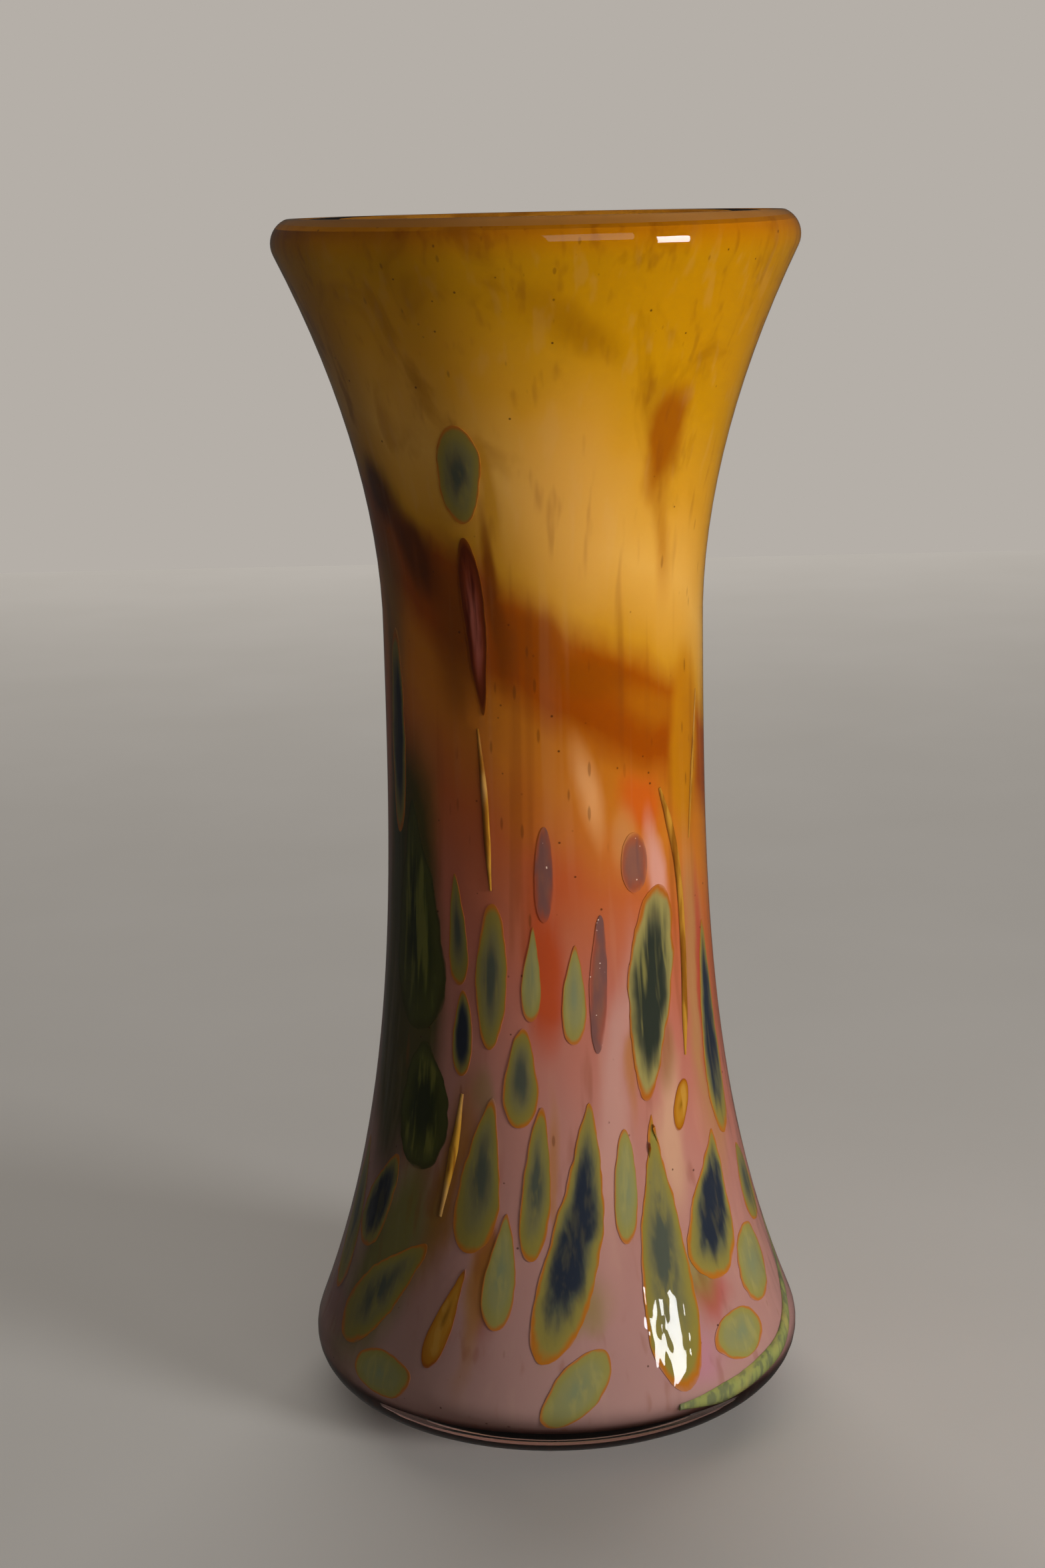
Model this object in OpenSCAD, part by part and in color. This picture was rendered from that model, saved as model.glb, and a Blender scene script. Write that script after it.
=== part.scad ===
// Hand-blown cased glass vase, standing on its ground foot.
// +Z is up the axis of blowing and the origin is the centre of the foot, on the table.
// From the outside in, the wall is clear casing, coloured overlay and white liner,
// and each hot-worked shard lies flush in a window of the overlay.

/* [Vase] */
// Height of the end of the wall, below the rolled lip
rim_z = 271; // [255:1:290]
// Diameter of the wall at that height
rim_d = 117.6; // [108:0.2:126]
// Height of the waist
waist_z = 188; // [180:1:196]
// Diameter of the waist
waist_d = 74.2; // [70:0.2:84]
// Height of the knee, where the wall turns into the rounded foot
knee_z = 18; // [17:0.5:22]
// Diameter at the knee
knee_d = 116; // [108:1:120]
// Outer diameter of the flat ring that it stands on
stand_d = 72; // [66:1:76]
// How late the upper wall flares out
rim_flare = 1.85; // [1.7:0.05:2.2]
// How late the lower wall flares out
foot_flare = 3.2; // [2.8:0.1:3.5]

/* [Glass layers] */
// Thickness of the clear casing on the wall
casing_t = 3.8; // [3.4:0.1:4.2]
// Thickness of the coloured overlays
overlay_t = 1.2; // [1:0.1:1.4]
// Thickness of the white liner
liner_t = 2.8; // [2.6:0.1:3]
// Thickness of clear glass under the colour at the foot
clear_base_t = 7; // [6:0.5:8]
// Height where the amber overlay meets the rose one
join_z = 152; // [150:1:154]
// Radius of the lip's outer corner
lip_r = 5.8; // [5:0.1:6]
// Radius of the polished pontil hollow under the foot
pontil_r = 20; // [16:1:24]
// Depth of that hollow
pontil_depth = 1.6; // [1:0.1:2.4]

/* [Hidden] */
$fn = 120;
wall_steps = 26;
curve_steps = 8;
outline_steps = 20;
// The prisms that cut the shards out of the overlay start inside the waist's bore
prism_start = 24;

// Depths below the outer skin at which one layer meets the next
overlay_d = casing_t;
liner_d = casing_t + overlay_t;
bore_d = liner_d + liner_t;

// The shards, each with its colour, the way round from the front in degrees (a viewer's
// right is positive), its middle height, its length, its width, its lean (the top leans
// to the right when it is positive), how much narrower it is drawn at the top, and how
// far its foot swings to the left.
moss = "#7f8a4a";
slate = "#4e6468";
mauve = "#9a7f86";
gold = "#b9852f";
ruby = "#8a4326";
SHARDS = [
    ["crown_shard",           moss,   -27, 225, 22,   10,   4, -0.1,  0],
    ["ruby_shard",            ruby,   -26, 191, 40,    5,  -4, -0.4,  0],
    ["left_slate_drift",      slate,  -70, 164, 48,    7,   0,  0.1,  0],
    ["left_moss_drift",       moss,   -57, 122, 54,   15,  -4,  0.7,  0],
    ["left_lower_drift",      moss,   -49,  78, 30,   15,  -2,  0.3,  0],
    ["left_reed",             moss,   -36, 121, 26,  4.4,  -3,  0.6,  0],
    ["left_slate_reed",       slate,  -33,  97, 20,    5,   0,  0.3,  0],
    ["twin_reed",             moss,   -22, 111, 34,    7,   1,    0,  0],
    ["front_mauve_reed",      mauve,   -2, 135, 22,    4,   1,  0.1,  0],
    ["front_slim_reed",       moss,    -7, 112, 22,  3.8,   2,  0.6,  0],
    ["front_short_reed",      moss,     8, 107, 23,  4.8,   2,  0.5,  0],
    ["front_mauve_needle",    mauve,   17, 109, 32,  3.8,   3,  0.1,  0],
    ["front_lower_shard",     moss,   -11,  88, 23,  7.4,   2,  0.3,  0],
    ["right_mauve_shard",     mauve,   33, 136, 14,  6.8,   0,    0,  0],
    ["right_plume",           slate,   38, 105, 50,   12,   8, -0.3,  0],
    ["right_gold_drop",       gold,    47,  77, 12,  4.4,  18,    0,  0],
    ["left_tall_shard",       moss,   -24,  65, 36,    9,   6,  0.6,  0],
    ["centre_tall_shard",     moss,    -6,  64, 35,  6.2,   4,  0.4,  0],
    ["centre_blue_shard",     slate,   10,  53, 58,   11,   2,  0.6, 12],
    ["left_olive_shard",      moss,   -16,  44, 26,  6.6,   4,  0.6,  0],
    ["foot_slant_shard",      moss,     4,  19, 21,   10,  44,    0,  0],
    ["right_pale_shard",      mauve,   22,  62, 26,  5.4,   4,  0.2,  0],
    ["right_long_shard",      moss,    32,  46, 62, 11.5,   2,  0.8,  0],
    ["right_cup_shard",       slate,   54,  52, 34,   14,  18,  0.7,  0],
    ["right_edge_reed",       slate,   71,  91, 52,    9,   2,  0.5,  0],
    ["right_edge_shard",      moss,    80,  50, 20,   10,  -8,  0.5,  0],
    ["right_lens_shard",      moss,    67,  34, 18,   14,  16,  0.1,  0],
    ["foot_round_shard",      moss,    52,  22, 11,   17,   0,    0,  0],
    ["left_edge_shard",       moss,   -81,  44, 38,    9,  -4,  0.5,  0],
    ["left_blue_shard",       slate,  -65,  52, 26,   10,  20,  0.5,  0],
    ["left_fan_shard",        moss,   -55,  33, 36,   12,  40,  0.5,  0],
    ["left_gold_needle",      gold,   -31,  32, 24,  4.6,  17,  0.6,  0],
    ["left_foot_lobe",        moss,   -48,  16, 10,   18,   0,    0,  0],
    ["side_slate_shard",      slate,  104,  74, 46,   12,   2,  0.6,  6],
    ["side_foot_lobe",        moss,   112,  24, 16,   14,  20,  0.1,  0],
    ["back_right_reed",       moss,   128, 114, 40,    8,   0,  0.5,  0],
    ["back_right_shard",      moss,   130,  58, 42,   12,   4,  0.7,  0],
    ["back_right_lobe",       moss,   152,  24, 16,   14,  24,  0.1,  0],
    ["back_slate_shard",      slate,  154,  84, 44,   11,  -3,  0.6,  0],
    ["back_mauve_reed",       mauve,  176, 128, 28,    5,   0,  0.1,  0],
    ["back_tall_shard",       moss,  -172,  60, 46,   11,   3,  0.6,  5],
    ["back_foot_lobe",        moss,  -156,  22, 14,   14,   0,  0.1,  0],
    ["back_left_plume",       slate, -144, 102, 50,   12,   4,  0.4,  0],
    ["back_left_shard",       moss,  -122,  62, 44,   12,   2,  0.7,  0],
    ["back_left_reed",        moss,  -103, 118, 38,    8,   0,  0.5,  0],
    ["back_left_lobe",        moss,  -102,  26, 18,   14, -16,  0.1,  0],
];

// The drawn threads: each with its colour, its width and the places that it runs through,
// as degrees round from the front and a height
THREADS = [
    ["left_gold_thread",  gold, 1.6, [[-26, 168], [-24, 154], [-23, 142], [-22, 131]]],
    ["left_amber_thread", gold, 2.4, [[-32, 83], [-34, 70], [-37, 54]]],
    ["right_gold_thread", gold, 2, [[46, 152], [51, 143], [55, 132], [56, 112], [54, 98], [52, 88]]],
    ["fine_gold_thread",  gold, 1.2, [[73, 172], [68, 154], [64, 138]]],
    ["foot_moss_trail",   moss, 4.2, [[91, 37], [89, 28], [81, 20], [70, 15], [56, 13], [42, 12], [29, 12]]],
];

function names(table) = [for (row = table) row[0]];

// Outer radius of the wall, and how fast it grows with height
function wall(z) = z < waist_z
    ? (waist_d + (knee_d - waist_d) * pow((waist_z - z) / (waist_z - knee_z), foot_flare)) / 2
    : (waist_d + (rim_d - waist_d) * pow((z - waist_z) / (rim_z - waist_z), rim_flare)) / 2;
function slope(z) = (wall(z + 0.01) - wall(z - 0.01)) / 0.02;

// A point at a depth below the outer skin, and the way up and the way in along the skin there
function way_up(z) = let (lean = atan(slope(z))) [sin(lean), cos(lean)];
function way_in(z) = let (lean = atan(slope(z))) [-cos(lean), sin(lean)];
function under_skin(z, depth) = [wall(z), z] + depth * way_in(z);

function arc(centre, r, from, to) =
    [for (i = [0:curve_steps]) let (a = from + (to - from) * i / curve_steps)
        centre + r * [cos(a), sin(a)]];
function bezier(a, b, c, d, t) =
    a * pow(1 - t, 3) + 3 * b * t * pow(1 - t, 2) + 3 * c * t * t * (1 - t) + d * pow(t, 3);

// The round of the foot at a depth, from the flat underneath out and up to the knee
function foot_base(depth) = depth == 0 ? 0 : clear_base_t + depth - casing_t;
function foot_round(depth) =
    let (flat = [stand_d / 2 - depth, foot_base(depth)],
         knee = under_skin(knee_z, depth),
         flat_reach = 0.88 * (knee[0] - flat[0]),
         knee_reach = 0.54 * (knee_z - foot_base(depth)))
    [for (i = [0:curve_steps])
        bezier(flat, flat + [flat_reach, 0],
               knee - knee_reach * way_up(knee_z), knee, i / curve_steps)];

// The whole skin at a depth, from the foot up to a height
function heights(from, to) = [for (i = [1:wall_steps]) from + (to - from) * i / wall_steps];
function skin(depth, to) =
    concat(foot_round(depth), [for (z = heights(knee_z, to)) under_skin(z, depth)]);
function backwards(list) = [for (i = [len(list) - 1:-1:0]) list[i]];

// The rolled lip, from the end of the outer skin over to the end of the bore
function lip() =
    let (lean = atan(slope(rim_z)), edge = under_skin(rim_z, 0),
         inner_r = bore_d - lip_r,
         outer_c = edge + lip_r * way_in(rim_z),
         inner_c = edge + (bore_d - inner_r) * way_in(rim_z) + (lip_r - inner_r) * way_up(rim_z))
    concat(arc(outer_c, lip_r, -lean, 90 - lean), arc(inner_c, inner_r, 90 - lean, 180 - lean));

// Where the colour ends inside the lip, at a depth
function colour_end(depth) = under_skin(rim_z, depth) + (2 * lip_r - bore_d) * way_up(rim_z);

// A revolved layer between two depths
module layer(outer_depth, inner_depth) {
    rotate_extrude()
        polygon(concat([[0, foot_base(outer_depth)]], skin(outer_depth, rim_z),
                       [colour_end(outer_depth), colour_end(inner_depth)],
                       backwards(skin(inner_depth, rim_z)), [[0, foot_base(inner_depth)]]));
}

// A leaf-shaped outline, drawn out narrower towards its top, its foot swung to the left
function leaf(length, width, taper, swing) =
    [for (i = [0:outline_steps - 1])
        let (a = 360 * i / outline_steps, down = (1 - cos(a)) / 2)
        [width / 2 * sin(a) * (1 - taper * cos(a)) - swing * down * down, length / 2 * cos(a)]];

// A prism that runs straight out of the axis, its outline seen from outside
module outward(turn, z) {
    rotate([0, 0, turn]) translate([0, -prism_start, z]) rotate([90, 0, 0])
        linear_extrude(rim_d / 2) children();
}

module shard_prism(row) {
    outward(row[2], row[3]) rotate(-row[6]) polygon(leaf(row[4], row[5], row[7], row[8]));
}

// One straight step of a thread between two places, with round ends
module thread_step(a, b, width) {
    turn = (a[0] + b[0]) / 2;
    z = (a[1] + b[1]) / 2;
    r = wall(max(z, knee_z)) - overlay_d;
    half = [r * sin((b[0] - a[0]) / 2), (b[1] - a[1]) / 2];
    run = norm(half);
    outward(turn, z) rotate(atan2(half[1], half[0])) {
        translate([-run, -width / 2]) square([2 * run, width]);
        for (side = [-1, 1]) translate([side * run, 0]) circle(d = width, $fn = 24);
    }
}

module thread_prism(row) {
    places = row[3];
    for (i = [0:len(places) - 2]) thread_step(places[i], places[i + 1], row[2]);
}

module overlay_layer() {
    layer(overlay_d, liner_d);
}

// Everything above the height where the two colours meet
module above_join() {
    translate([0, 0, join_z]) cylinder(h = 2 * rim_z, r = rim_d);
}

module clear_casing() {
    color("#d8dcd6", 0.35) rotate_extrude()
        polygon(concat([[0, pontil_depth], [pontil_r / 2, pontil_depth * 0.8], [pontil_r, 0]],
                       skin(0, rim_z), lip(), [colour_end(overlay_d)],
                       backwards(skin(overlay_d, rim_z)), [[0, foot_base(overlay_d)]]));
}

module opal_liner() {
    color("#f1ebdc") layer(liner_d, bore_d);
}

module amber_overlay() {
    color("#c08a2c") difference() {
        intersection() { overlay_layer(); above_join(); }
        for (row = SHARDS) if (row[3] + row[4] / 2 > join_z - 2) shard_prism(row);
        for (row = THREADS) if (row[3][0][1] > join_z - 4) thread_prism(row);
    }
}

module rose_overlay() {
    color("#c48a86") difference() {
        overlay_layer();
        above_join();
        for (row = SHARDS) if (row[3] - row[4] / 2 < join_z + 2) shard_prism(row);
        for (row = THREADS) if (row[3][len(row[3]) - 1][1] < join_z + 4) thread_prism(row);
    }
}

module shard(row) {
    color(row[1]) intersection() { overlay_layer(); shard_prism(row); }
}

module thread(row) {
    color(row[1]) intersection() { overlay_layer(); thread_prism(row); }
}

clear_casing();
opal_liner();
amber_overlay();
rose_overlay();
for (row = SHARDS) shard(row);
for (row = THREADS) thread(row);
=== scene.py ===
import math

import bpy
from mathutils import Matrix, Vector


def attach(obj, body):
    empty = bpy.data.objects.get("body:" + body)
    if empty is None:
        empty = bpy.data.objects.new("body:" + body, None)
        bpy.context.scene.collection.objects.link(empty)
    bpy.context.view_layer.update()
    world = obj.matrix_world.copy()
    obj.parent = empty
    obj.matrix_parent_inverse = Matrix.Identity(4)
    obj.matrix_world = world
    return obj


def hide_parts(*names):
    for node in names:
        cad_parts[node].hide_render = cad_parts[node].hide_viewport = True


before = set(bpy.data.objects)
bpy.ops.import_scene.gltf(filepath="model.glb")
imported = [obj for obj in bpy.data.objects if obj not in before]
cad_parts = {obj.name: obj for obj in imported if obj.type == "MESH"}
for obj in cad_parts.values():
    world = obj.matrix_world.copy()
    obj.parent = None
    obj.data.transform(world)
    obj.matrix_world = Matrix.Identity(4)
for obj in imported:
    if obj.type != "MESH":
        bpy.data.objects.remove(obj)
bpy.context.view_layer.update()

# --- Clear casing --------------------------------------------------------------------
# The last gather of the vase: clear glass blown over the colour, opened out to a rolled
# lip and left thick under the foot, where the punty mark is ground to a polished hollow.

RIM_Z = 0.271
RIM_D = 0.1176
WAIST_Z = 0.188
WAIST_D = 0.0742
KNEE_Z = 0.018
KNEE_D = 0.116
STAND_D = 0.072
RIM_FLARE = 1.85
FOOT_FLARE = 3.2
CASING_T = 0.0038
OVERLAY_T = 0.0012
LINER_T = 0.0028
CLEAR_BASE_T = 0.007
LIP_R = 0.0058
PONTIL_R = 0.020
PONTIL_DEPTH = 0.0016
BORE_DEPTH = CASING_T + OVERLAY_T + LINER_T
FULL_HEIGHT = 0.28
COLOUR_BITE = 0.0003
FLAT_PULL = 0.88
KNEE_PULL = 0.54
TURNS = 144
MERGE_WITHIN = 1e-6


def wall_radius(z):
    """Outer radius of the wall at a height."""
    if z < WAIST_Z:
        fall = (WAIST_Z - z) / (WAIST_Z - KNEE_Z)
        return (WAIST_D + (KNEE_D - WAIST_D) * fall**FOOT_FLARE) / 2
    rise = (z - WAIST_Z) / (RIM_Z - WAIST_Z)
    return (WAIST_D + (RIM_D - WAIST_D) * rise**RIM_FLARE) / 2


def wall_lean(z):
    """How far the wall leans out from upright at a height."""
    return math.atan((wall_radius(z + 1e-5) - wall_radius(z - 1e-5)) / 2e-5)


def under_skin(z, depth):
    """The radius and height of a place below the outer skin."""
    lean = wall_lean(z)
    return (wall_radius(z) - depth * math.cos(lean), z + depth * math.sin(lean))


def foot_round(depth, steps=14):
    """The round of the foot at a depth, from the flat underneath up to the knee."""
    base = CLEAR_BASE_T + depth - CASING_T if depth else 0.0
    lean = wall_lean(KNEE_Z)
    knee = under_skin(KNEE_Z, depth)
    flat = (STAND_D / 2 - depth, base)
    low = (flat[0] + FLAT_PULL * (knee[0] - flat[0]), base)
    reach = KNEE_PULL * (KNEE_Z - base)
    high = (knee[0] - reach * math.sin(lean), knee[1] - reach * math.cos(lean))
    places = []
    for i in range(steps + 1):
        t = i / steps
        shares = ((1 - t) ** 3, 3 * t * (1 - t) ** 2, 3 * t * t * (1 - t), t**3)
        corners = (flat, low, high, knee)
        places.append(tuple(sum(s * c[k] for s, c in zip(shares, corners)) for k in (0, 1)))
    return places


def wall_side(depth, bottom, top, steps=44):
    """The wall at a depth, from just above one height up to another."""
    heights = [bottom + (top - bottom) * (i + 1) / steps for i in range(steps)]
    return [under_skin(z, depth) for z in heights]


def whole_side(depth):
    """The skin at a depth, all the way from the flat of the foot to the rim."""
    return foot_round(depth) + wall_side(depth, KNEE_Z, RIM_Z)


def colour_end(depth, short=0.0):
    """Where the colour ends inside the lip, at a depth."""
    lean = wall_lean(RIM_Z)
    reach = 2 * LIP_R - BORE_DEPTH - short
    edge = under_skin(RIM_Z, depth)
    return (edge[0] + reach * math.sin(lean), edge[1] + reach * math.cos(lean))


def rolled_lip(steps=10):
    """The rounded lip, from the end of the outer skin over to the end of the bore."""
    lean = wall_lean(RIM_Z)
    edge = under_skin(RIM_Z, 0)
    inward = (-math.cos(lean), math.sin(lean))
    upward = (math.sin(lean), math.cos(lean))
    inner_r = BORE_DEPTH - LIP_R
    outer_c = [edge[k] + LIP_R * inward[k] for k in (0, 1)]
    inner_c = [
        edge[k] + LIP_R * inward[k] + (LIP_R - inner_r) * upward[k] for k in (0, 1)
    ]
    places = []
    for centre, radius, start in ((outer_c, LIP_R, 0), (inner_c, inner_r, math.pi / 2)):
        for i in range(steps + 1):
            angle = start - lean + math.pi / 2 * i / steps
            spot = (centre[0] + radius * math.cos(angle), centre[1] + radius * math.sin(angle))
            if not places or math.dist(spot, places[-1]) > 1e-4:
                places.append(spot)
    return places


def spin_glass(name, section, joined=False):
    """Draws a half section point by point, and spins it round the axis of blowing."""
    bpy.ops.object.select_all(action="DESELECT")
    start = (section[0][0], 0, section[0][1])
    bpy.ops.mesh.primitive_plane_add(size=0.001, location=start)
    piece = bpy.context.object
    piece.name = name
    bpy.ops.object.transform_apply(location=True, rotation=True, scale=True)
    bpy.ops.object.mode_set(mode="EDIT")
    bpy.ops.mesh.merge(type="CENTER")
    for (r0, z0), (r1, z1) in zip(section, section[1:]):
        step = {"value": (r1 - r0, 0, z1 - z0)}
        bpy.ops.mesh.extrude_region_move(TRANSFORM_OT_translate=step)
    if joined:
        bpy.ops.object.mode_set(mode="OBJECT")
        for i, corner in enumerate(piece.data.vertices):
            corner.select = i in (0, len(piece.data.vertices) - 1)
        bpy.ops.object.mode_set(mode="EDIT")
        bpy.ops.mesh.edge_face_add()
    bpy.ops.mesh.select_all(action="SELECT")
    bpy.ops.mesh.spin(steps=TURNS, angle=math.tau, center=(0, 0, 0), axis=(0, 0, 1))
    bpy.ops.mesh.select_all(action="SELECT")
    bpy.ops.mesh.remove_doubles(threshold=MERGE_WITHIN)
    bpy.ops.mesh.normals_make_consistent(inside=False)
    bpy.ops.object.mode_set(mode="OBJECT")
    bpy.ops.object.shade_smooth_by_angle(angle=math.radians(50))
    return piece


def new_finish(name):
    """A new finish with one glass shader wired to its output."""
    finish = bpy.data.materials.new(name)
    finish.use_nodes = True
    tree = finish.node_tree
    tree.nodes.clear()
    output = tree.nodes.new("ShaderNodeOutputMaterial")
    shader = tree.nodes.new("ShaderNodeBsdfPrincipled")
    tree.links.new(shader.outputs["BSDF"], output.inputs["Surface"])
    return finish, tree, shader, output


def grain(tree, scale, detail=3.0, twist=0.0):
    """Cloudy noise with its own fineness across, deep and up, from the piece's place."""
    place = tree.nodes.new("ShaderNodeTexCoord")
    stretch = tree.nodes.new("ShaderNodeMapping")
    stretch.inputs["Scale"].default_value = scale
    noise = tree.nodes.new("ShaderNodeTexNoise")
    noise.inputs["Scale"].default_value = 1.0
    noise.inputs["Detail"].default_value = detail
    noise.inputs["Distortion"].default_value = twist
    tree.links.new(place.outputs["Object"], stretch.inputs["Vector"])
    tree.links.new(stretch.outputs["Vector"], noise.inputs["Vector"])
    return noise


def axes_of(tree):
    """The place on the piece: how far to the right, how far back and how high."""
    place = tree.nodes.new("ShaderNodeTexCoord")
    axes = tree.nodes.new("ShaderNodeSeparateXYZ")
    tree.links.new(place.outputs["Object"], axes.inputs["Vector"])
    return axes.outputs


def graded(tree, value, stops):
    """Grades a colour along a value that runs from 0 to 1."""
    ramp = tree.nodes.new("ShaderNodeValToRGB")
    while len(ramp.color_ramp.elements) < len(stops):
        ramp.color_ramp.elements.new(1.0)
    for element, (level, tint) in zip(ramp.color_ramp.elements, stops):
        element.position = level
        element.color = tint
    tree.links.new(value, ramp.inputs["Fac"])
    return ramp.outputs["Color"]


def clear_glass():
    """Clear glass with a painted dark reflection of a table, wine-dark, under the foot, ambered
    at the lip, rippled by turning.
    """
    finish, tree, shader, output = new_finish("clear_glass")
    shader.inputs["Transmission Weight"].default_value = 1.0
    shader.inputs["Roughness"].default_value = 0.015
    shader.inputs["IOR"].default_value = 1.5
    up_share = tree.nodes.new("ShaderNodeMapRange")
    up_share.inputs["From Max"].default_value = FULL_HEIGHT
    tree.links.new(axes_of(tree)["Z"], up_share.inputs["Value"])
    # Painted dark reflection: the wine-dark tint low on the foot stands in for a dark table seen
    # in the glass
    painted_table_dark = (0.42, 0.2, 0.15, 1)
    clear = (0.985, 0.97, 0.95, 1)
    amber = (0.9, 0.56, 0.14, 1)
    tints = ((0.022, painted_table_dark), (0.036, clear), (0.965, clear), (0.985, amber))
    tree.links.new(graded(tree, up_share.outputs[0], tints), shader.inputs["Base Color"])

    smooth = (0, 0, 0, 1)
    rippled = (1, 1, 1, 1)
    almost_smooth = (0.06, 0.06, 0.06, 1)
    steps = ((0.05, smooth), (0.11, rippled), (0.57, almost_smooth))
    wavy = tree.nodes.new("ShaderNodeBump")
    wavy.inputs["Distance"].default_value = 0.0009
    tree.links.new(graded(tree, up_share.outputs[0], steps), wavy.inputs["Strength"])
    tree.links.new(grain(tree, (170, 170, 12), 1.5).outputs["Fac"], wavy.inputs["Height"])
    tree.links.new(wavy.outputs["Normal"], shader.inputs["Normal"])

    # Lamps shine straight through the clear glass on to the colour
    light = tree.nodes.new("ShaderNodeLightPath")
    open_air = tree.nodes.new("ShaderNodeBsdfTransparent")
    either = tree.nodes.new("ShaderNodeMixShader")
    tree.links.new(light.outputs["Is Shadow Ray"], either.inputs[0])
    tree.links.new(shader.outputs["BSDF"], either.inputs[1])
    tree.links.new(open_air.outputs["BSDF"], either.inputs[2])
    tree.links.new(either.outputs["Shader"], output.inputs["Surface"])
    return finish


inner_depth = CASING_T + COLOUR_BITE
hollow = [(0, PONTIL_DEPTH), (PONTIL_R / 2, 0.8 * PONTIL_DEPTH), (PONTIL_R, 0)]
casing_section = hollow + whole_side(0) + rolled_lip() + [colour_end(inner_depth, COLOUR_BITE)]
casing_section += whole_side(inner_depth)[::-1] + [(0, CLEAR_BASE_T + COLOUR_BITE)]
casing = spin_glass("clear_casing_glass", casing_section)
casing.data.materials.append(clear_glass())
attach(casing, "root")
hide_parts("clear_casing")

# --- Opal liner ----------------------------------------------------------------------
# The first gather, milk-white glass that makes the bore and backs the colour. It runs
# from the inside floor up to the lip, and takes some rose and amber from the overlays.


def colour(code):
    """A paint-box colour as the shader wants it."""
    parts = [int(code[i : i + 2], 16) / 255 for i in (1, 3, 5)]
    straight = [p / 12.92 if p <= 0.04045 else ((p + 0.055) / 1.055) ** 2.4 for p in parts]
    return (*straight, 1.0)


# Where a Mix node keeps its share, its two colours and their blend
MIX_SHARE = 0
MIX_UNDER = 6
MIX_OVER = 7
MIX_BLEND = 2


def lay(tree, under, tint, mask):
    """Lays a tint over a colour, as strongly as the mask says."""
    blend = tree.nodes.new("ShaderNodeMix")
    blend.data_type = "RGBA"
    for number, value in ((MIX_SHARE, mask), (MIX_UNDER, under), (MIX_OVER, tint)):
        if isinstance(value, bpy.types.NodeSocket):
            tree.links.new(value, blend.inputs[number])
        else:
            blend.inputs[number].default_value = colour(value)
    return blend.outputs[MIX_BLEND]


def fade(tree, value, start, end, most=1.0):
    """Rises softly from nothing at the start to its most at the end."""
    ramp = tree.nodes.new("ShaderNodeMapRange")
    ramp.interpolation_type = "SMOOTHSTEP"
    tree.links.new(value, ramp.inputs["Value"])
    ramp.inputs["From Min"].default_value = start
    ramp.inputs["From Max"].default_value = end
    ramp.inputs["To Max"].default_value = most
    return ramp.outputs["Result"]


def work(tree, kind, *values):
    """One step of arithmetic on numbers and sockets."""
    step = tree.nodes.new("ShaderNodeMath")
    step.operation = kind
    for socket, value in zip(step.inputs, values):
        if isinstance(value, bpy.types.NodeSocket):
            tree.links.new(value, socket)
        else:
            socket.default_value = value
    return step.outputs[0]


def opal_glass():
    """Milk glass with cream clouds, rosy low down and ambered towards the lip."""
    finish, tree, shader, _ = new_finish("opal_glass")
    height = axes_of(tree)["Z"]
    clouds = grain(tree, (28, 28, 14), 3.0).outputs["Fac"]
    milk = lay(tree, "#d9c8a8", "#e6dccb", fade(tree, clouds, 0.4, 0.6))
    tint = lay(tree, "#c79d92", milk, fade(tree, height, 0.03, 0.15))
    tint = lay(tree, tint, "#b07a35", fade(tree, height, 0.2, 0.272, 0.8))
    tree.links.new(tint, shader.inputs["Base Color"])
    shader.inputs["Roughness"].default_value = 0.12
    return finish


liner_depth = CASING_T + OVERLAY_T
liner_section = [(0, CLEAR_BASE_T + OVERLAY_T)] + whole_side(liner_depth)
liner_section += [colour_end(liner_depth), colour_end(BORE_DEPTH)] + whole_side(BORE_DEPTH)[::-1]
liner_section += [(0, CLEAR_BASE_T + OVERLAY_T + LINER_T)]
liner = spin_glass("opal_liner_glass", liner_section)
liner.data.materials.append(opal_glass())
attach(liner, "root")
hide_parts("opal_liner")

# --- Amber and rose overlays ---------------------------------------------------------
# One thin gather of colour under the casing, amber above and rose below, rolled in frit
# and pulled upward while it was soft, so that every cloud and streak in it runs upright.

JOIN_Z = 0.152
# Degrees to a turn of one radian, less what the clear casing bends out of sight
SEEN_DEGREES = 50.7
# How the pattern is drawn round and down behind, for each metre back from the middle
BACK_TURN = -700
BACK_DROP = -500


def blush(tree, under, where, tint, spot, reach, lean=0.0, soft=0.8, most=1.0):
    """Lays one soft oval of colour: where and how far round and up, and its lean."""
    turn, height = where
    up = work(tree, "SUBTRACT", height, spot[1])
    drift = work(tree, "MULTIPLY_ADD", up, -lean, -spot[0])
    across = work(tree, "DIVIDE", work(tree, "ADD", turn, drift), reach[0])
    upward = work(tree, "DIVIDE", up, reach[1])
    square = work(tree, "MULTIPLY_ADD", across, across, work(tree, "MULTIPLY", upward, upward))
    far = work(tree, "SQRT", square)
    return lay(tree, under, tint, fade(tree, far, 1.0, 1.0 - soft, most))


def drift_of(tree, value, amount):
    """Turns noise into a shift to either side."""
    return work(tree, "MULTIPLY_ADD", value, amount, -amount / 2)


def frit(tree, scale):
    """Scattered grains: how far the nearest one is, with its own size each way."""
    place = tree.nodes.new("ShaderNodeTexCoord")
    stretch = tree.nodes.new("ShaderNodeMapping")
    stretch.inputs["Scale"].default_value = scale
    grains = tree.nodes.new("ShaderNodeTexVoronoi")
    grains.inputs["Scale"].default_value = 1.0
    tree.links.new(place.outputs["Object"], stretch.inputs["Vector"])
    tree.links.new(stretch.outputs["Vector"], grains.inputs["Vector"])
    return grains.outputs["Distance"]


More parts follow.
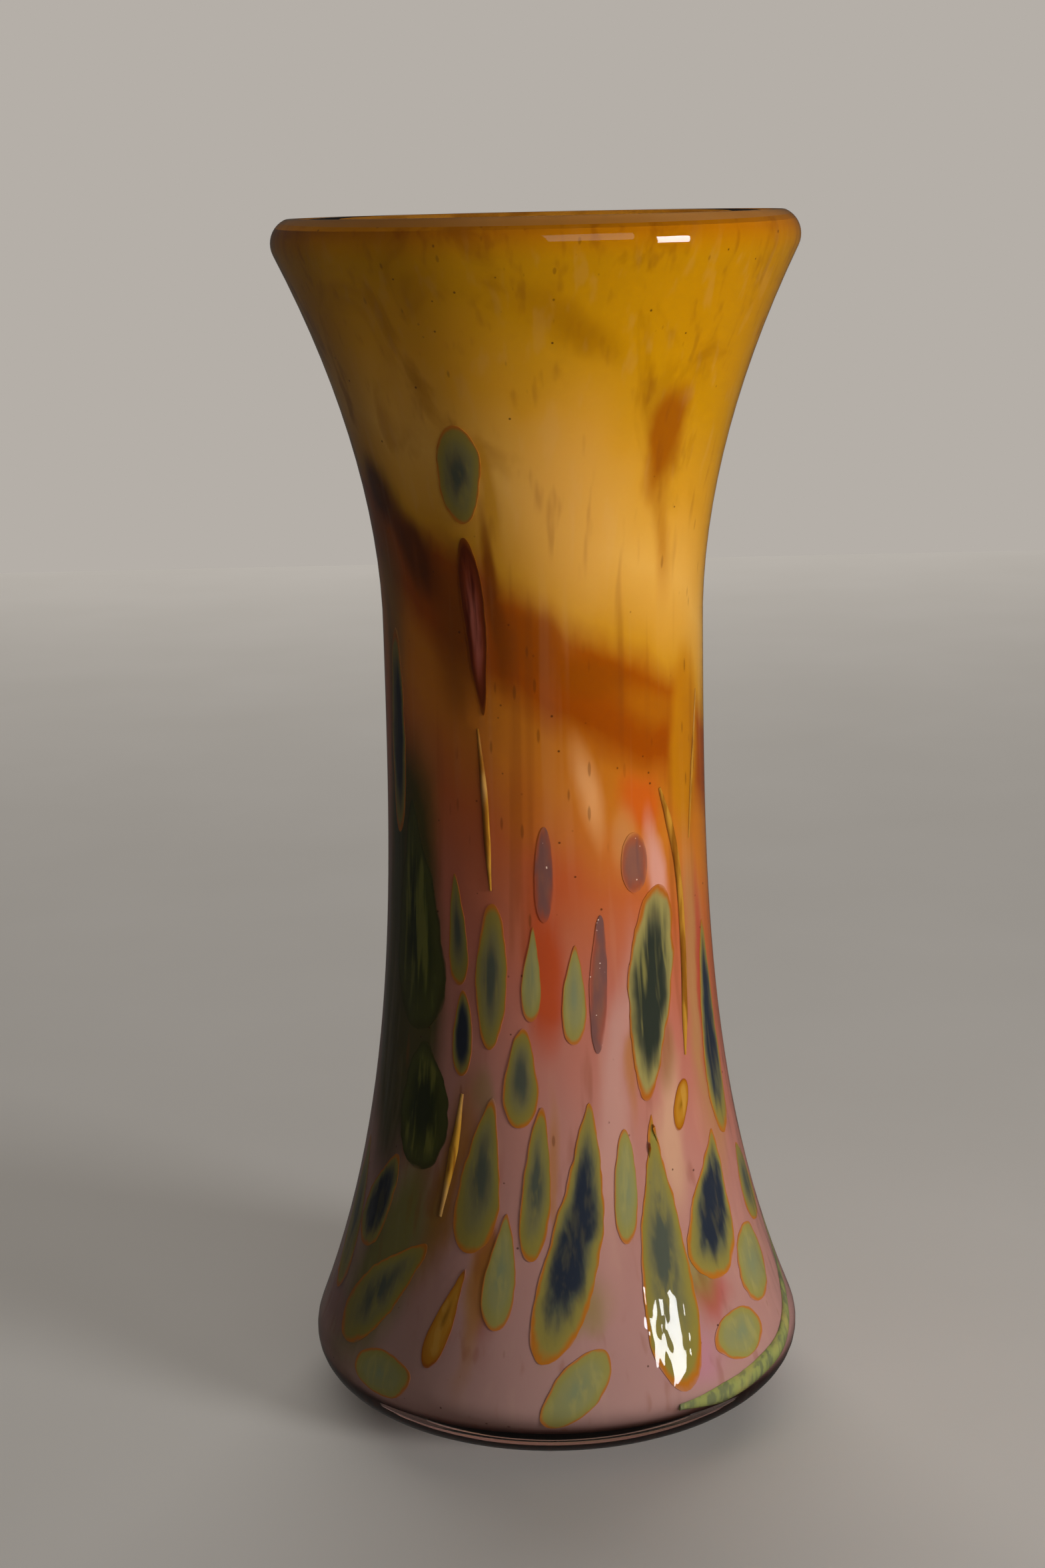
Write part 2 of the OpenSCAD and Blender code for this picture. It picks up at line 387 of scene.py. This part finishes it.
def wall_colours():
    """The colours of the wall, in degrees round from the front and millimetres up."""
    tree = bpy.data.node_groups.new("wall_colours", "ShaderNodeTree")
    tree.interface.new_socket("Colour", in_out="OUTPUT", socket_type="NodeSocketColor")
    out = tree.nodes.new("NodeGroupOutput")
    x, y, z = axes_of(tree)
    round_by = work(tree, "ARCTAN2", x, work(tree, "ABSOLUTE", y))
    clouds = tree.nodes.new("ShaderNodeSeparateColor")
    tree.links.new(grain(tree, (34, 34, 15), 2.5, 0.4).outputs["Color"], clouds.inputs[0])
    small = tree.nodes.new("ShaderNodeSeparateColor")
    tree.links.new(grain(tree, (120, 120, 40), 3.0).outputs["Color"], small.inputs[0])
    large_sway = drift_of(tree, clouds.outputs[0], 18)
    large_rise = drift_of(tree, clouds.outputs[1], 20)
    sway = work(tree, "ADD", large_sway, drift_of(tree, small.outputs[0], 7))
    rise = work(tree, "ADD", large_rise, drift_of(tree, small.outputs[1], 8))
    behind = work(tree, "MAXIMUM", y, 0.0)
    shifted_by = work(tree, "MULTIPLY_ADD", behind, BACK_TURN, sway)
    turn = work(tree, "MULTIPLY_ADD", round_by, SEEN_DEGREES, shifted_by)
    height_mm = work(tree, "MULTIPLY", z, 1000)
    height = work(tree, "ADD", height_mm, work(tree, "MULTIPLY_ADD", behind, BACK_DROP, rise))
    where = (turn, height)

    slant = work(tree, "MULTIPLY_ADD", turn, 0.4, height)
    ramp_top = 300
    stops = (
        (8, "#a5827a"),
        (40, "#ab8078"),
        (78, "#b07a6d"),
        (112, "#b36a56"),
        (138, "#b86030"),
        (156, "#bf7220"),
        (168, "#b96e18"),
        (176, "#974600"),
        (191, "#9c4c00"),
        (199, "#c68e20"),
        (216, "#daa84c"),
        (238, "#ce9622"),
        (258, "#c28c04"),
        (290, "#bc8400"),
    )
    shares = [(level / ramp_top, colour(code)) for level, code in stops]
    wall = graded(tree, work(tree, "DIVIDE", slant, ramp_top), shares)

    wisps = fade(tree, grain(tree, (60, 60, 22), 4.0, 1.2).outputs["Fac"], 0.5, 0.66, 0.6)
    wisps_up_high = work(tree, "MULTIPLY", wisps, fade(tree, height, 205, 240))
    wall = lay(tree, wall, "#9a6400", wisps_up_high)
    patches = (
        # cream heart and amber clouds of the flared top
        ("#d8a248", (8, 214), (26, 32), 0, 0.9, 0.75),
        ("#9a5400", (38, 230), (8, 17), 0, 0.6, 0.95),
        ("#a96a08", (42, 208), (5, 20), -0.1, 0.9, 0.6),
        ("#a06a00", (6, 257), (12, 14), -0.9, 0.9, 0.7),
        # brown smoke coming down from the left, and what it leaves under the crown
        ("#552806", (-58, 219), (12, 12), -0.3, 0.7, 0.92),
        ("#552806", (-44, 206), (11, 15), -0.5, 0.7, 0.92),
        ("#7d4408", (-30, 188), (10, 26), 0, 0.8, 0.7),
        ("#7a3b02", (-16, 196), (4.5, 24), -0.05, 0.7, 0.85),
        ("#c08a20", (-14, 218), (4, 18), -0.12, 0.7, 0.8),
        ("#8d7440", (-62, 190), (14, 26), 0, 0.8, 0.6),
        # the brown band that winds down to the right
        ("#8d4400", (-6, 188), (12, 9), 0, 0.7, 0.75),
        ("#924a00", (16, 180), (18, 8), -1.8, 0.7, 0.75),
        ("#a86208", (40, 170), (16, 9), -1.6, 0.8, 0.8),
        # peach, orange and red below it
        ("#b5641a", (-7, 150), (8, 16), 0, 0.9, 0.8),
        ("#dc9f62", (12, 155), (7, 16), -0.3, 0.9, 0.85),
        ("#c45a16", (34, 150), (12, 11), -0.5, 0.7, 0.9),
        ("#d29a8a", (38, 130), (5, 22), -0.1, 0.7, 0.85),
        ("#b4481c", (0, 114), (8, 26), 0, 0.7, 0.9),
        ("#b9522a", (2, 134), (14, 12), 0, 0.9, 0.6),
        ("#c5905a", (26, 142), (8, 12), 0, 0.9, 0.5),
        # the yellow and red columns down the right side
        ("#b8780a", (57, 160), (12, 26), 0, 0.5, 0.9),
        ("#a97c4c", (56, 98), (11, 50), 0, 0.6, 0.8),
        ("#ab4a34", (58, 102), (4, 36), 0.12, 0.7, 0.95),
        ("#bd8f82", (20, 80), (7, 52), 0.12, 0.8, 0.85),
        ("#c49a7a", (37, 72), (6, 24), 0.05, 0.7, 0.8),
        # pink and wine-red hollows between the shards of the foot
        ("#83382c", (-18, 50), (3.5, 28), 0.08, 0.8, 0.9),
        ("#a8463c", (43, 33), (10, 9), 0, 0.8, 0.8),
        ("#b5788a", (33, 22), (14, 8), 0, 0.8, 0.6),
        # the dark left side: brown smoke, deep olive and the amber veil over it
        ("#a06430", (-46, 150), (13, 28), 0, 0.8, 0.8),
        ("#403f14", (-57, 112), (25, 62), 0.02, 0.35, 0.95),
        ("#3a3f1e", (-64, 150), (8, 50), 0, 0.7, 0.85),
        ("#7d5c58", (-76, 100), (6, 60), 0, 0.7, 0.7),
        ("#94601a", (-31, 62), (7, 36), 0.2, 0.8, 0.9),
        ("#8a4a30", (-40, 60), (5, 16), 0.2, 0.8, 0.6),
        ("#a06c20", (-20, 42), (4, 28), 0.2, 0.8, 0.7),
        ("#a87030", (-1, 66), (3, 24), 0, 0.8, 0.6),
        ("#a8702c", (27, 92), (3, 22), 0.05, 0.8, 0.6),
        ("#6c6a2c", (-50, 40), (18, 34), 0.35, 0.6, 0.9),
        ("#8f6a66", (-68, 22), (12, 10), 0.5, 0.8, 0.8),
        ("#7c7038", (-22, 84), (5, 10), 0, 0.8, 0.5),
        ("#8b7a3c", (5, 34), (10, 12), 0.6, 0.7, 0.7),
        ("#84803e", (40, 38), (9, 12), 0, 0.8, 0.7),
        ("#7d5a20", (36, 88), (5, 12), 0, 0.8, 0.5),
    )
    for tint, spot, reach, lean, soft, most in patches:
        wall = blush(tree, wall, where, tint, spot, reach, lean, soft, most)

    # painted dark reflection of a table: wine-dark where the colour turns in under the foot
    wall = lay(tree, wall, "#3d1c14", fade(tree, height_mm, 11, 8.6, 0.95))

    # what the pull upward leaves: fine streaks, and specks and dashes of frit
    pull = grain(tree, (260, 260, 9), 2.0).outputs["Fac"]
    wall = lay(tree, wall, "#7c3f10", fade(tree, pull, 0.58, 0.74, 0.3))
    wall = lay(tree, wall, "#e3c09c", fade(tree, pull, 0.44, 0.3, 0.04))
    specks = fade(tree, frit(tree, (250, 250, 250)), 0.085, 0.05, 0.75)
    dashes = fade(tree, frit(tree, (330, 330, 70)), 0.15, 0.08, 0.45)
    some_specks = work(tree, "MULTIPLY", specks, fade(tree, small.outputs[2], 0.5, 0.56))
    some_dashes = work(tree, "MULTIPLY", dashes, fade(tree, clouds.outputs[2], 0.5, 0.6))
    wall = lay(tree, wall, "#3c1c08", some_specks)
    wall = lay(tree, wall, "#5a300c", some_dashes)
    tree.links.new(wall, out.inputs["Colour"])
    return tree


wall_group = wall_colours()


def wall_paint(tree):
    """The wall's own colour, for the overlays and for the edges of what lies in them."""
    group = tree.nodes.new("ShaderNodeGroup")
    group.node_tree = wall_group
    return group.outputs["Colour"]


def set_under_casing(tree, shader, tint):
    """Coloured glass in optical contact with the casing, which leaves it no shine."""
    tree.links.new(tint, shader.inputs["Base Color"])
    shader.inputs["Roughness"].default_value = 0.8
    shader.inputs["Specular IOR Level"].default_value = 0.0


def overlay_glass(name):
    """The overlays' finish: the wall's colours and nothing else."""
    finish, tree, shader, _ = new_finish(name)
    set_under_casing(tree, shader, wall_paint(tree))
    return finish


amber_outer = [under_skin(JOIN_Z, CASING_T)] + wall_side(CASING_T, JOIN_Z, RIM_Z)
amber_inner = [under_skin(JOIN_Z, liner_depth)] + wall_side(liner_depth, JOIN_Z, RIM_Z)
amber_ends = [colour_end(CASING_T), colour_end(liner_depth)]
amber_section = amber_outer + amber_ends + amber_inner[::-1]
rose_outer = [(0, CLEAR_BASE_T)] + foot_round(CASING_T) + wall_side(CASING_T, KNEE_Z, JOIN_Z)
rose_inner = foot_round(liner_depth) + wall_side(liner_depth, KNEE_Z, JOIN_Z)
rose_section = rose_outer + rose_inner[::-1] + [(0, CLEAR_BASE_T + OVERLAY_T)]
for tone, section, ring in (("amber", amber_section, True), ("rose", rose_section, False)):
    overlay = spin_glass(f"{tone}_overlay_glass", section, joined=ring)
    overlay.data.materials.append(overlay_glass(f"{tone}_glass"))
    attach(overlay, "root")
    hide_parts(f"{tone}_overlay")

# --- Shards --------------------------------------------------------------------------
# Thin chips of coloured glass picked up hot on the overlay, marvered flush and drawn out
# upward into leaves. The gaffer's steam and soda leave each with a rusty halo, a paler
# border and a dark feathered core.

PROUD = 0.0002
SHARD_T = 0.0010
IN_FRONT = -0.075
RAGGED = 0.14
former = spin_glass("former", whole_side(CASING_T - PROUD))
edge_noise = bpy.data.textures.new("edge_noise", "CLOUDS")
edge_noise.noise_scale = 0.007


def leaf_far(tree, wobble=0.22):
    """How far out a place on a shard lies: nothing at its middle and one at its edge."""
    place = tree.nodes.new("ShaderNodeTexCoord")
    centre = tree.nodes.new("ShaderNodeMapping")
    centre.inputs["Location"].default_value = (-1, -1, 0)
    centre.inputs["Scale"].default_value = (2, 2, 1)
    size = tree.nodes.new("ShaderNodeVectorMath")
    size.operation = "LENGTH"
    tree.links.new(place.outputs["UV"], centre.inputs["Vector"])
    tree.links.new(centre.outputs["Vector"], size.inputs[0])
    uneven = drift_of(tree, grain(tree, (230, 230, 90), 2.0).outputs["Fac"], wobble)
    return work(tree, "ADD", size.outputs["Value"], uneven)


def shard_glass(name, halo, border, body, core, vein, core_at, vein_most):
    """A chip's finish from its edge inward, with feathered veins running up its core."""
    finish, tree, shader, _ = new_finish(name)
    far = leaf_far(tree)
    edge = lay(tree, wall_paint(tree), halo, fade(tree, far, 1.08, 0.97))
    tint = lay(tree, edge, border, fade(tree, far, 0.98, 0.88))
    tint = lay(tree, tint, body, fade(tree, far, 0.88, 0.55))
    feather = grain(tree, (420, 420, 28), 3.0, 0.3).outputs["Fac"]
    inner = work(tree, "ADD", far, drift_of(tree, feather, 0.7))
    tint = lay(tree, tint, core, fade(tree, inner, core_at, core_at - 0.5))
    drawn = fade(tree, feather, 0.5, 0.66, vein_most)
    inside = work(tree, "MULTIPLY", fade(tree, far, 0.95, 0.7), drawn)
    tint = lay(tree, tint, vein, inside)
    set_under_casing(tree, shader, tint)
    return finish


def mauve_glass():
    """Mauve chips with a soft dark-pink rim, sprinkled with tiny bright seeds."""
    finish, tree, shader, _ = new_finish("mauve_glass")
    far = leaf_far(tree, 0.3)
    edge = lay(tree, wall_paint(tree), "#8a4634", fade(tree, far, 1.1, 0.8, 0.8))
    tint = lay(tree, edge, "#855848", fade(tree, far, 0.9, 0.4))
    mist = grain(tree, (300, 300, 60), 3.0).outputs["Fac"]
    tint = lay(tree, tint, "#75504a", fade(tree, mist, 0.45, 0.65))
    few = fade(tree, grain(tree, (500, 500, 500), 1.0).outputs["Fac"], 0.55, 0.62)
    seeds = work(tree, "MULTIPLY", fade(tree, frit(tree, (900, 900, 900)), 0.2, 0.08), few)
    tint = lay(tree, tint, "#f3dcc8", seeds)
    set_under_casing(tree, shader, tint)
    return finish


# Halo, border, body, core and vein, how far out the core starts, and how strong the veins
SHARD_TINTS = {
    "moss": ("#b06a1c", "#8a7e38", "#7a7448", "#4d5246", "#94883c", 0.62, 0.3),
    "sage": ("#b06a28", "#8f8848", "#8a8858", "#7f8460", "#a39a58", 0.5, 0.4),
    "deep_moss": ("#3c3c14", "#42441a", "#3c4014", "#262c12", "#6a6a2a", 0.7, 0.8),
    "slate": ("#b06a1c", "#8a7e3c", "#66684c", "#262c38", "#78703c", 0.9, 0.2),
    "plume": ("#a8601a", "#948a50", "#6a6848", "#2e332a", "#98904c", 0.95, 0.6),
    "gold": ("#94500a", "#a56a12", "#b07a20", "#7c5812", "#c49a44", 0.4, 0.4),
    "ruby": ("#7c4004", "#5c2404", "#7c3416", "#a85c4c", "#4a1404", 0.7, 0.9),
}
FINISHES = {kind: shard_glass(f"{kind}_glass", *tints) for kind, tints in SHARD_TINTS.items()}
FINISHES["mauve"] = mauve_glass()


def press_shard(name, tone, turn, height, length, width, lean, taper, swing, finish):
    """Draws a disc out into a leaf, presses it on the overlay and turns it to its place."""
    bpy.ops.object.select_all(action="DESELECT")
    bpy.ops.mesh.primitive_circle_add(vertices=48, radius=1, fill_type="TRIFAN", calc_uvs=True)
    shard = bpy.context.object
    shard.name = f"{name}_glass"
    bpy.ops.object.mode_set(mode="EDIT")
    bpy.ops.mesh.subdivide(number_cuts=4)
    bpy.ops.transform.resize(value=(width / 2, length / 2, 1))
    bpy.ops.object.mode_set(mode="OBJECT")
    draw = shard.modifiers.new("draw", "SIMPLE_DEFORM")
    draw.deform_method = "TAPER"
    draw.deform_axis = "Y"
    draw.factor = -2 * taper
    bpy.ops.object.modifier_apply(modifier=draw.name)
    if swing:
        bpy.ops.object.mode_set(mode="EDIT")
        bpy.ops.mesh.select_all(action="DESELECT")
        bpy.ops.object.mode_set(mode="OBJECT")
        min(shard.data.vertices, key=lambda corner: corner.co.y).select = True
        bpy.ops.object.mode_set(mode="EDIT")
        bpy.ops.transform.translate(
            value=(-swing, 0, 0),
            use_proportional_edit=True,
            proportional_edit_falloff="SHARP",
            proportional_size=length,
        )
        bpy.ops.object.mode_set(mode="OBJECT")
    shard.location = (0, IN_FRONT, height)
    shard.rotation_euler = (math.pi / 2, math.radians(lean), 0)
    bpy.ops.object.transform_apply(location=True, rotation=True, scale=True)
    uneven = shard.modifiers.new("uneven", "DISPLACE")
    uneven.texture = edge_noise
    uneven.texture_coords = "LOCAL"
    uneven.direction = "X"
    uneven.strength = RAGGED * width
    press = shard.modifiers.new("press", "SHRINKWRAP")
    press.target = former
    press.wrap_method = "PROJECT"
    press.use_project_y = True
    press.use_positive_direction = True
    thick = shard.modifiers.new("thick", "SOLIDIFY")
    thick.thickness = SHARD_T
    thick.offset = -1
    for step in (uneven, press, thick):
        bpy.ops.object.modifier_apply(modifier=step.name)
    shard.rotation_euler = (0, 0, math.radians(turn))
    bpy.ops.object.transform_apply(location=True, rotation=True, scale=True)
    bpy.ops.object.shade_smooth_by_angle(angle=math.radians(40))
    shard.data.materials.append(FINISHES[finish])
    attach(shard, "root")
    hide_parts(name)


# Name, tone, degrees round, then millimetres up, long and wide, lean, taper and swing
SHARDS = (
    ("crown_shard", "moss", -27, 225, 22, 10, 4, -0.1, 0),
    ("ruby_shard", "ruby", -26, 191, 40, 5, -4, -0.4, 0),
    ("left_slate_drift", "slate", -70, 164, 48, 7, 0, 0.1, 0),
    ("left_moss_drift", "moss", -57, 122, 54, 15, -4, 0.7, 0),
    ("left_lower_drift", "moss", -49, 78, 30, 15, -2, 0.3, 0),
    ("left_reed", "moss", -36, 121, 26, 4.4, -3, 0.6, 0),
    ("left_slate_reed", "slate", -33, 97, 20, 5, 0, 0.3, 0),
    ("twin_reed", "moss", -22, 111, 34, 7, 1, 0, 0),
    ("front_mauve_reed", "mauve", -2, 135, 22, 4, 1, 0.1, 0),
    ("front_slim_reed", "moss", -7, 112, 22, 3.8, 2, 0.6, 0),
    ("front_short_reed", "moss", 8, 107, 23, 4.8, 2, 0.5, 0),
    ("front_mauve_needle", "mauve", 17, 109, 32, 3.8, 3, 0.1, 0),
    ("front_lower_shard", "moss", -11, 88, 23, 7.4, 2, 0.3, 0),
    ("right_mauve_shard", "mauve", 33, 136, 14, 6.8, 0, 0, 0),
    ("right_plume", "slate", 38, 105, 50, 12, 8, -0.3, 0),
    ("right_gold_drop", "gold", 47, 77, 12, 4.4, 18, 0, 0),
    ("left_tall_shard", "moss", -24, 65, 36, 9, 6, 0.6, 0),
    ("centre_tall_shard", "moss", -6, 64, 35, 6.2, 4, 0.4, 0),
    ("centre_blue_shard", "slate", 10, 53, 58, 11, 2, 0.6, 12),
    ("left_olive_shard", "moss", -16, 44, 26, 6.6, 4, 0.6, 0),
    ("foot_slant_shard", "moss", 4, 19, 21, 10, 44, 0, 0),
    ("right_pale_shard", "mauve", 22, 62, 26, 5.4, 4, 0.2, 0),
    ("right_long_shard", "moss", 32, 46, 62, 11.5, 2, 0.8, 0),
    ("right_cup_shard", "slate", 54, 52, 34, 14, 18, 0.7, 0),
    ("right_edge_reed", "slate", 71, 91, 52, 9, 2, 0.5, 0),
    ("right_edge_shard", "moss", 80, 50, 20, 10, -8, 0.5, 0),
    ("right_lens_shard", "moss", 67, 34, 18, 14, 16, 0.1, 0),
    ("foot_round_shard", "moss", 52, 22, 11, 17, 0, 0, 0),
    ("left_edge_shard", "moss", -81, 44, 38, 9, -4, 0.5, 0),
    ("left_blue_shard", "slate", -65, 52, 26, 10, 20, 0.5, 0),
    ("left_fan_shard", "moss", -55, 33, 36, 12, 40, 0.5, 0),
    ("left_gold_needle", "gold", -31, 32, 24, 4.6, 17, 0.6, 0),
    ("left_foot_lobe", "moss", -48, 16, 10, 18, 0, 0, 0),
    ("side_slate_shard", "slate", 104, 74, 46, 12, 2, 0.6, 6),
    ("side_foot_lobe", "moss", 112, 24, 16, 14, 20, 0.1, 0),
    ("back_right_reed", "moss", 128, 114, 40, 8, 0, 0.5, 0),
    ("back_right_shard", "moss", 130, 58, 42, 12, 4, 0.7, 0),
    ("back_right_lobe", "moss", 152, 24, 16, 14, 24, 0.1, 0),
    ("back_slate_shard", "slate", 154, 84, 44, 11, -3, 0.6, 0),
    ("back_mauve_reed", "mauve", 176, 128, 28, 5, 0, 0.1, 0),
    ("back_tall_shard", "moss", -172, 60, 46, 11, 3, 0.6, 5),
    ("back_foot_lobe", "moss", -156, 22, 14, 14, 0, 0.1, 0),
    ("back_left_plume", "slate", -144, 102, 50, 12, 4, 0.4, 0),
    ("back_left_shard", "moss", -122, 62, 44, 12, 2, 0.7, 0),
    ("back_left_reed", "moss", -103, 118, 38, 8, 0, 0.5, 0),
    ("back_left_lobe", "moss", -102, 26, 18, 14, -16, 0.1, 0),
)
# Chips that stay pale to the middle, and those with a finish of their own
PALE = (
    "front_slim_reed",
    "front_short_reed",
    "left_olive_shard",
    "foot_slant_shard",
    "right_pale_shard",
    "right_lens_shard",
    "foot_round_shard",
    "left_foot_lobe",
    "side_foot_lobe",
    "back_right_lobe",
    "back_left_lobe",
)
SPECIAL = {
    "left_moss_drift": "deep_moss",
    "left_lower_drift": "deep_moss",
    "right_plume": "plume",
    **dict.fromkeys(PALE, "sage"),
}
for name, tone, turn, height, length, width, lean, taper, swing in SHARDS:
    sizes = (height / 1000, length / 1000, width / 1000)
    finish = SPECIAL.get(name, tone)
    press_shard(name, tone, turn, *sizes, lean, taper, swing / 1000, finish)

# --- Threads -------------------------------------------------------------------------
# Fine rods of soft glass trailed over the hot overlay and pulled along with it. They lie
# half sunk, flattened flush by the marver, and run thin at both ends.


def thread_glass(name, light, dark, pale):
    """A trailed rod's finish, with lines drawn along it and paler places."""
    finish, tree, shader, _ = new_finish(name)
    along = grain(tree, (500, 500, 60), 2.0).outputs["Fac"]
    tint = lay(tree, light, dark, fade(tree, along, 0.42, 0.6))
    places = grain(tree, (90, 90, 40), 2.0).outputs["Fac"]
    tint = lay(tree, tint, pale, fade(tree, places, 0.5, 0.62, 0.6))
    set_under_casing(tree, shader, tint)
    return finish


THREAD_FINISHES = {
    "gold": thread_glass("gold_thread_glass", "#bd8a2c", "#8f5a12", "#c9a060"),
    "moss": thread_glass("moss_trail_glass", "#8f9454", "#6f7450", "#b0a45c"),
}
THIN_END = 0.35
skin_places = sorted((z, r) for r, z in whole_side(CASING_T - PROUD))


def on_skin(turn, height):
    """The place on the pressed surface at a turn and a height."""
    lower = max(place for place in skin_places if place[0] <= height)
    upper = min(place for place in skin_places if place[0] > height)
    share = (height - lower[0]) / (upper[0] - lower[0])
    radius = lower[1] + share * (upper[1] - lower[1])
    return Vector((radius * math.sin(turn), -radius * math.cos(turn), height))


def trail_thread(name, tone, width, places):
    """Trails a rod through its places, and flattens what stands out of the wall."""
    bpy.ops.object.select_all(action="DESELECT")
    path = bpy.data.curves.new(f"{name}_path", "CURVE")
    path.dimensions = "3D"
    path.bevel_depth = width / 2
    path.bevel_resolution = 4
    path.resolution_u = 10
    path.use_fill_caps = True
    run = path.splines.new("BEZIER")
    run.bezier_points.add(len(places) - 1)
    for i, (point, (turn, height)) in enumerate(zip(run.bezier_points, places)):
        point.co = on_skin(math.radians(turn), height / 1000)
        point.handle_left_type = "AUTO"
        point.handle_right_type = "AUTO"
        point.radius = THIN_END if i in (0, len(places) - 1) else 1.0
    thread = bpy.data.objects.new(f"{name}_glass", path)
    bpy.context.scene.collection.objects.link(thread)
    bpy.context.view_layer.objects.active = thread
    thread.select_set(True)
    bpy.ops.object.convert(target="MESH")
    thread = bpy.context.object
    bpy.ops.object.mode_set(mode="EDIT")
    bpy.ops.mesh.select_all(action="SELECT")
    bpy.ops.mesh.remove_doubles(threshold=MERGE_WITHIN)
    bpy.ops.mesh.normals_make_consistent(inside=False)
    bpy.ops.object.mode_set(mode="OBJECT")
    flush = thread.modifiers.new("flush", "SHRINKWRAP")
    flush.target = former
    flush.wrap_method = "NEAREST_SURFACEPOINT"
    flush.wrap_mode = "INSIDE"
    bpy.ops.object.modifier_apply(modifier=flush.name)
    bpy.ops.object.shade_smooth_by_angle(angle=math.radians(40))
    thread.data.materials.append(THREAD_FINISHES[tone])
    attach(thread, "root")
    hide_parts(name)


# Name, tone and millimetres wide, then the places it runs through, round and up
GOLD_RUN = ((46, 152), (51, 143), (55, 132), (56, 112), (54, 98), (52, 88))
FOOT_RUN = ((91, 37), (89, 28), (81, 20), (70, 15), (56, 13), (42, 12), (29, 12))
THREADS = (
    ("left_gold_thread", "gold", 1.6, ((-26, 168), (-24, 154), (-23, 142), (-22, 131))),
    ("left_amber_thread", "gold", 2.4, ((-32, 83), (-34, 70), (-37, 54))),
    ("right_gold_thread", "gold", 2, GOLD_RUN),
    ("fine_gold_thread", "gold", 1.2, ((73, 172), (68, 154), (64, 138))),
    ("foot_moss_trail", "moss", 4.2, FOOT_RUN),
)
for name, tone, width, places in THREADS:
    trail_thread(name, tone, width / 1000, places)
bpy.data.objects.remove(former)

# --- Table, light and camera ---------------------------------------------------------
# A plain pale table top in a pale room, left out of the glass's reflections. A soft
# window light stands to the right, a wide dim one fills in from the front, and a third
# lights only the far end of the table, out of the glass's sight.

bpy.ops.object.select_all(action="DESELECT")
bpy.ops.mesh.primitive_plane_add(size=2.8, location=(0, 0, 0))
table = bpy.context.object
table.name = "table_top"
table_finish, table_tree, table_shader, _ = new_finish("pale_table")
table_shade = grain(table_tree, (9, 9, 9), 3.0).outputs["Fac"]
table_tint = lay(table_tree, "#dad5cd", "#e3ded7", table_shade)
table_tree.links.new(table_tint, table_shader.inputs["Base Color"])
table_shader.inputs["Roughness"].default_value = 0.6
table.data.materials.append(table_finish)
table.visible_glossy = False


def aim(thing, target):
    """Points a light at a place."""
    thing.rotation_euler = (Vector(target) - thing.location).to_track_quat("-Z", "Y").to_euler()


def soft_light(place, target, width, height, power, tint):
    """One soft rectangular light."""
    bpy.ops.object.light_add(type="AREA", location=place)
    lamp = bpy.context.object
    lamp.data.shape = "RECTANGLE"
    lamp.data.size = width
    lamp.data.size_y = height
    lamp.data.energy = power
    lamp.data.color = tint
    aim(lamp, target)
    return lamp


window_light = soft_light((0.80, -0.50, 0.30), (0, 0, 0.13), 0.26, 0.34, 1.5, (0.97, 0.98, 1.0))
window_light.data.spread = math.radians(100)
soft_light((0.5, -1.2, 0.7), (0, 0, 0.15), 0.9, 0.6, 2.2, (1.0, 0.98, 0.95))
far_light = soft_light((0, 2.4, 1.6), (0, 1.2, 0), 3.0, 1.6, 42.0, (1.0, 0.98, 0.96))
far_light.visible_glossy = False
far_light.visible_transmission = False

# The room looks pale and lights the vase dimly
world = bpy.data.worlds.new("pale_room")
bpy.context.scene.world = world
world.use_nodes = True
world_tree = world.node_tree
room = world_tree.nodes["Background"]
room.inputs["Color"].default_value = colour("#b5afa8")
seen = world_tree.nodes.new("ShaderNodeLightPath")
level = world_tree.nodes.new("ShaderNodeMapRange")
level.inputs["To Min"].default_value = 0.11
level.inputs["To Max"].default_value = 1.0
world_tree.links.new(seen.outputs["Is Camera Ray"], level.inputs["Value"])
world_tree.links.new(level.outputs["Result"], room.inputs["Strength"])

bpy.ops.object.camera_add()
camera = bpy.context.object
camera.data.lens = 58.2
camera.data.sensor_width = 36
camera.data.clip_start = 0.01
tilt = Matrix.Rotation(math.radians(90 - 13.17), 4, "X")
roll = Matrix.Rotation(math.radians(-1.25), 4, "Z")
camera.matrix_world = Matrix.Translation((-0.00555, -0.582, 0.284)) @ tilt @ roll
bpy.context.scene.camera = camera
bpy.context.scene.view_settings.view_transform = "Standard"
